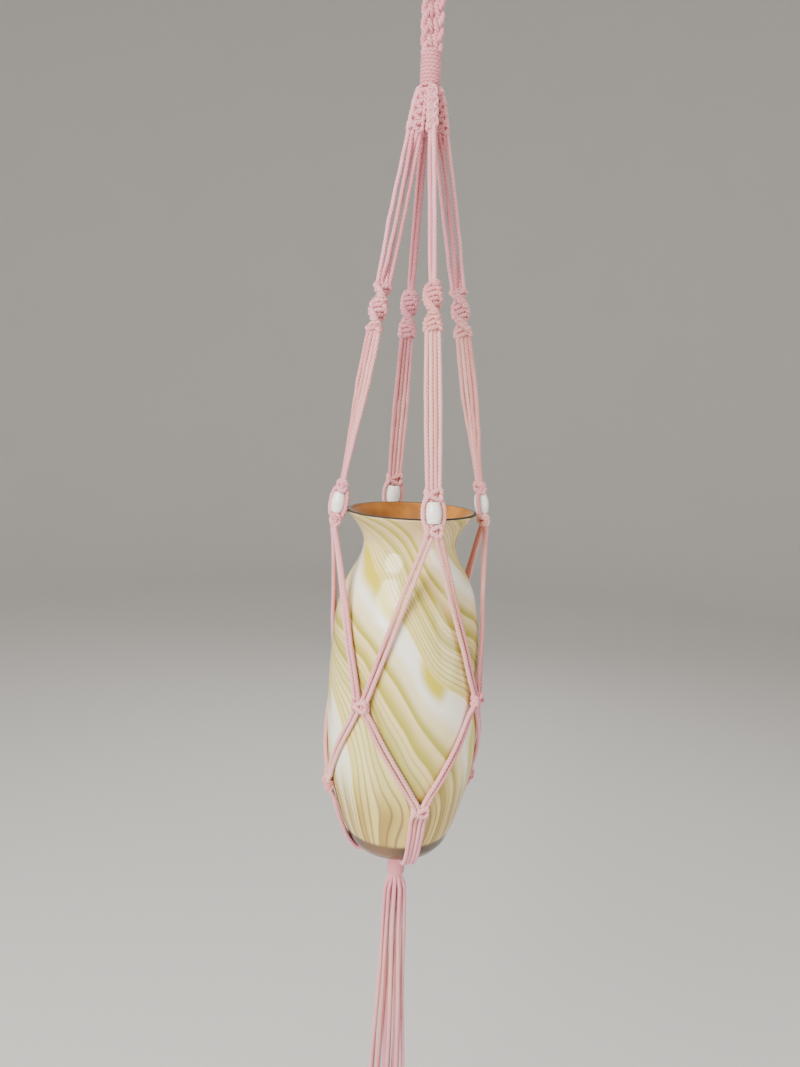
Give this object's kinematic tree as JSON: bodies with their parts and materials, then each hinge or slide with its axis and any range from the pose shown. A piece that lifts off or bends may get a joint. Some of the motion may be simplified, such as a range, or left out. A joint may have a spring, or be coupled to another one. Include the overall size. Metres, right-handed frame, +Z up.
{
  "type": "hanging macrame planter",
  "caption": "Knotted cotton cord plant hanger with beaded arms, a net, a tassel and a tall opaque glass vase, hung by a loop.",
  "frame": {"origin": "the point under the crown of the loop where it rests on a hook", "axes": "+Z up along the hanging line, -Y out through arm 1 at the front, +X out through arm 2"},
  "size_m": [0.1116, 0.1116, 0.8492],
  "materials": {
    "cotton_cord": "matte twisted cotton",
    "cotton_knot": "matte knotted twisted cotton",
    "cotton_loop": "matte braided twisted cotton",
    "bead_white": "satin white paint",
    "vase_glass": "glossy opaque cased glass"
  },
  "bodies": {
    "loop_crown": {"loop_crown": "cotton_loop"},
    "loop_legs": {"loop_legs": "cotton_loop"},
    "top_wrap": {"top_wrap": "cotton_knot"},
    "hanger": {"crown_sennit_1": "cotton_knot", "crown_sennit_2": "cotton_knot", "crown_sennit_3": "cotton_knot", "crown_sennit_4": "cotton_knot", "net_cords_upper_1": "cotton_cord", "net_cords_upper_2": "cotton_cord", "net_cords_upper_3": "cotton_cord", "net_cords_upper_4": "cotton_cord", "net_knot_1": "cotton_knot", "net_knot_2": "cotton_knot", "net_knot_3": "cotton_knot", "net_knot_4": "cotton_knot", "net_cords_lower_1": "cotton_cord", "net_cords_lower_2": "cotton_cord", "net_cords_lower_3": "cotton_cord", "net_cords_lower_4": "cotton_cord", "sling_knot_1": "cotton_knot", "sling_knot_2": "cotton_knot", "sling_knot_3": "cotton_knot", "sling_knot_4": "cotton_knot", "sling_cords_1": "cotton_cord", "sling_cords_2": "cotton_cord", "sling_cords_3": "cotton_cord", "sling_cords_4": "cotton_cord", "sling_gather": "cotton_knot"},
    "arm_1": {"upper_cords_1": "cotton_cord", "spiral_knot_1": "cotton_knot", "lower_cords_1": "cotton_cord", "bead_knot_upper_1": "cotton_knot", "bead_cords_1": "cotton_cord", "bead_knot_lower_1": "cotton_knot"},
    "bead_1": {"bead_1": "bead_white"},
    "arm_2": {"upper_cords_2": "cotton_cord", "spiral_knot_2": "cotton_knot", "lower_cords_2": "cotton_cord", "bead_knot_upper_2": "cotton_knot", "bead_cords_2": "cotton_cord", "bead_knot_lower_2": "cotton_knot"},
    "bead_2": {"bead_2": "bead_white"},
    "arm_3": {"upper_cords_3": "cotton_cord", "spiral_knot_3": "cotton_knot", "lower_cords_3": "cotton_cord", "bead_knot_upper_3": "cotton_knot", "bead_cords_3": "cotton_cord", "bead_knot_lower_3": "cotton_knot"},
    "bead_3": {"bead_3": "bead_white"},
    "arm_4": {"upper_cords_4": "cotton_cord", "spiral_knot_4": "cotton_knot", "lower_cords_4": "cotton_cord", "bead_knot_upper_4": "cotton_knot", "bead_cords_4": "cotton_cord", "bead_knot_lower_4": "cotton_knot"},
    "bead_4": {"bead_4": "bead_white"},
    "vase": {"vase": "vase_glass"},
    "bottom_wrap": {"bottom_wrap": "cotton_knot"},
    "tassel": {"tassel_strands": "cotton_cord"}
  },
  "joints": [
    {"name": "swing_front", "type": "hinge", "parent": "loop_crown", "child": "loop_legs", "pos_m": [0, 0, -0.0113], "axis": [1, 0, 0], "range_deg": [-20, 20]},
    {"name": "twist", "type": "hinge", "parent": "loop_legs", "child": "top_wrap", "pos_m": [0, 0, -0.0717], "axis": [0, 0, 1], "range_deg": [-90, 90]},
    {"name": "swing_side", "type": "hinge", "parent": "top_wrap", "child": "hanger", "pos_m": [0, 0, -0.09204], "axis": [0, 1, 0], "range_deg": [-12, 12]},
    {"name": "arm_spread_1", "type": "hinge", "parent": "hanger", "child": "arm_1", "pos_m": [0, -0.0088, -0.122], "axis": [-1, 0, 0], "range_deg": [0, 4]},
    {"name": "arm_spread_2", "type": "hinge", "parent": "hanger", "child": "arm_2", "pos_m": [0.0088, 0, -0.122], "axis": [0, -1, 0], "range_deg": [0, 4]},
    {"name": "arm_spread_3", "type": "hinge", "parent": "hanger", "child": "arm_3", "pos_m": [0, 0.0088, -0.122], "axis": [1, 0, 0], "range_deg": [0, 4]},
    {"name": "arm_spread_4", "type": "hinge", "parent": "hanger", "child": "arm_4", "pos_m": [-0.0088, 0, -0.122], "axis": [0, 1, 0], "range_deg": [0, 4]},
    {"name": "bead_spin_1", "type": "hinge", "parent": "arm_1", "child": "bead_1", "pos_m": [0, -0.0503, -0.35752], "axis": [0, 0.1735, 0.9848], "continuous": true},
    {"name": "bead_spin_2", "type": "hinge", "parent": "arm_2", "child": "bead_2", "pos_m": [0.0503, 0, -0.35752], "axis": [-0.1735, 0, 0.9848], "continuous": true},
    {"name": "bead_spin_3", "type": "hinge", "parent": "arm_3", "child": "bead_3", "pos_m": [0, 0.0503, -0.35752], "axis": [0, -0.1735, 0.9848], "continuous": true},
    {"name": "bead_spin_4", "type": "hinge", "parent": "arm_4", "child": "bead_4", "pos_m": [-0.0503, 0, -0.35752], "axis": [0.1735, 0, 0.9848], "continuous": true},
    {"name": "vase_lift", "type": "slide", "parent": "hanger", "child": "vase", "axis": [0, 0, 1], "range_m": [0, 0.012]},
    {"name": "tassel_sway_front", "type": "hinge", "parent": "hanger", "child": "bottom_wrap", "pos_m": [0, 0, -0.61262], "axis": [1, 0, 0], "range_deg": [-12, 12]},
    {"name": "tassel_sway_side", "type": "hinge", "parent": "bottom_wrap", "child": "tassel", "pos_m": [0, 0, -0.62442], "axis": [0, 1, 0], "range_deg": [-12, 12]}
  ]
}
